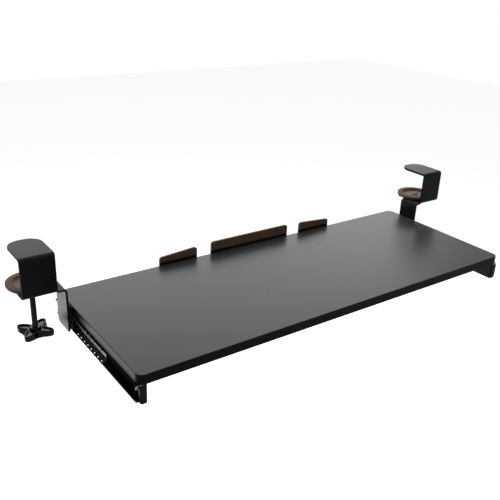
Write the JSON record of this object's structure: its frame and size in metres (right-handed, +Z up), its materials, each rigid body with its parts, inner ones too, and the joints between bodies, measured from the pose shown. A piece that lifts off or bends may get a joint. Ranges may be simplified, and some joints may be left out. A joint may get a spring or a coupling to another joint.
{
  "type": "under-desk keyboard tray",
  "caption": "Flat keyboard board that slides on ball-bearing rails under a desk, hung from screw clamps on the desk's front edge.",
  "frame": {"origin": "the desk's top front edge, midway between the two clamps", "axes": "+X right along the desk edge, +Y back over the desk, +Z up"},
  "size_m": [0.821, 0.2625, 0.1325],
  "materials": {
    "laminate": "matt laminate on fibreboard",
    "black_steel": "satin powder coat",
    "rail_steel": "black plated",
    "stop_steel": "satin powder coat, brown tint",
    "screw_steel": "blackened",
    "knob_plastic": "moulded, satin",
    "pad_plastic": "moulded, brown tint",
    "pad_rubber": "matt, brown tint",
    "rubber": "matt",
    "zinc": "bright zinc",
    "ball_steel": "polished"
  },
  "bodies": {
    "clamps": {"left_clamp_bracket": "black_steel", "right_clamp_bracket": "black_steel", "left_jaw_liner": "rubber", "right_jaw_liner": "rubber", "left_weld_nut": "black_steel", "right_weld_nut": "black_steel", "left_fixed_rail": "rail_steel", "right_fixed_rail": "rail_steel", "left_hanger_rivets": "black_steel", "right_hanger_rivets": "black_steel"},
    "tray": {"platform_board": "laminate", "left_tray_angle": "black_steel", "right_tray_angle": "black_steel", "left_tray_rail": "rail_steel", "right_tray_rail": "rail_steel", "left_rail_rivets": "rail_steel", "right_rail_rivets": "rail_steel", "left_board_screws": "screw_steel", "right_board_screws": "screw_steel", "centre_stop": "stop_steel", "left_stop": "stop_steel", "right_stop": "stop_steel", "stop_screws": "screw_steel"},
    "left_cage": {"left_ball_cage": "zinc", "left_slide_balls": "ball_steel"},
    "right_cage": {"right_ball_cage": "zinc", "right_slide_balls": "ball_steel"},
    "left_pad": {"left_pad_disc": "pad_plastic", "left_pad_face": "pad_rubber"},
    "right_pad": {"right_pad_disc": "pad_plastic", "right_pad_face": "pad_rubber"},
    "left_screw": {"left_clamp_screw": "screw_steel", "left_star_knob": "knob_plastic"},
    "right_screw": {"right_clamp_screw": "screw_steel", "right_star_knob": "knob_plastic"}
  },
  "joints": [
    {"name": "tray_slide", "type": "slide", "parent": "clamps", "child": "tray", "axis": [0, 1, 0], "range_m": [0, 0.18]},
    {"name": "left_cage_slide", "type": "slide", "parent": "clamps", "child": "left_cage", "axis": [0, 1, 0], "range_m": [0, 0.09]},
    {"name": "right_cage_slide", "type": "slide", "parent": "clamps", "child": "right_cage", "axis": [0, 1, 0], "range_m": [0, 0.09]},
    {"name": "left_pad_lift", "type": "slide", "parent": "clamps", "child": "left_pad", "axis": [0, 0, 1], "range_m": [-0.00063, 0.04375]},
    {"name": "right_pad_lift", "type": "slide", "parent": "clamps", "child": "right_pad", "axis": [0, 0, 1], "range_m": [-0.00063, 0.04375]},
    {"name": "left_screw_turn", "type": "hinge", "parent": "left_pad", "child": "left_screw", "pos_m": [-0.3775, 0.0335, -0.08], "axis": [0, 0, 1], "range_deg": [-180, 12600]},
    {"name": "right_screw_turn", "type": "hinge", "parent": "right_pad", "child": "right_screw", "pos_m": [0.3775, 0.0335, -0.08], "axis": [0, 0, 1], "range_deg": [-180, 12600]}
  ],
  "couplings": [
    {"joint": "left_cage_slide", "follows": "tray_slide", "ratio": 0.5},
    {"joint": "right_cage_slide", "follows": "tray_slide", "ratio": 0.5},
    {"joint": "left_screw_turn", "follows": "left_pad_lift", "rad_per_m": 5026.5},
    {"joint": "right_screw_turn", "follows": "right_pad_lift", "rad_per_m": 5026.5}
  ]
}
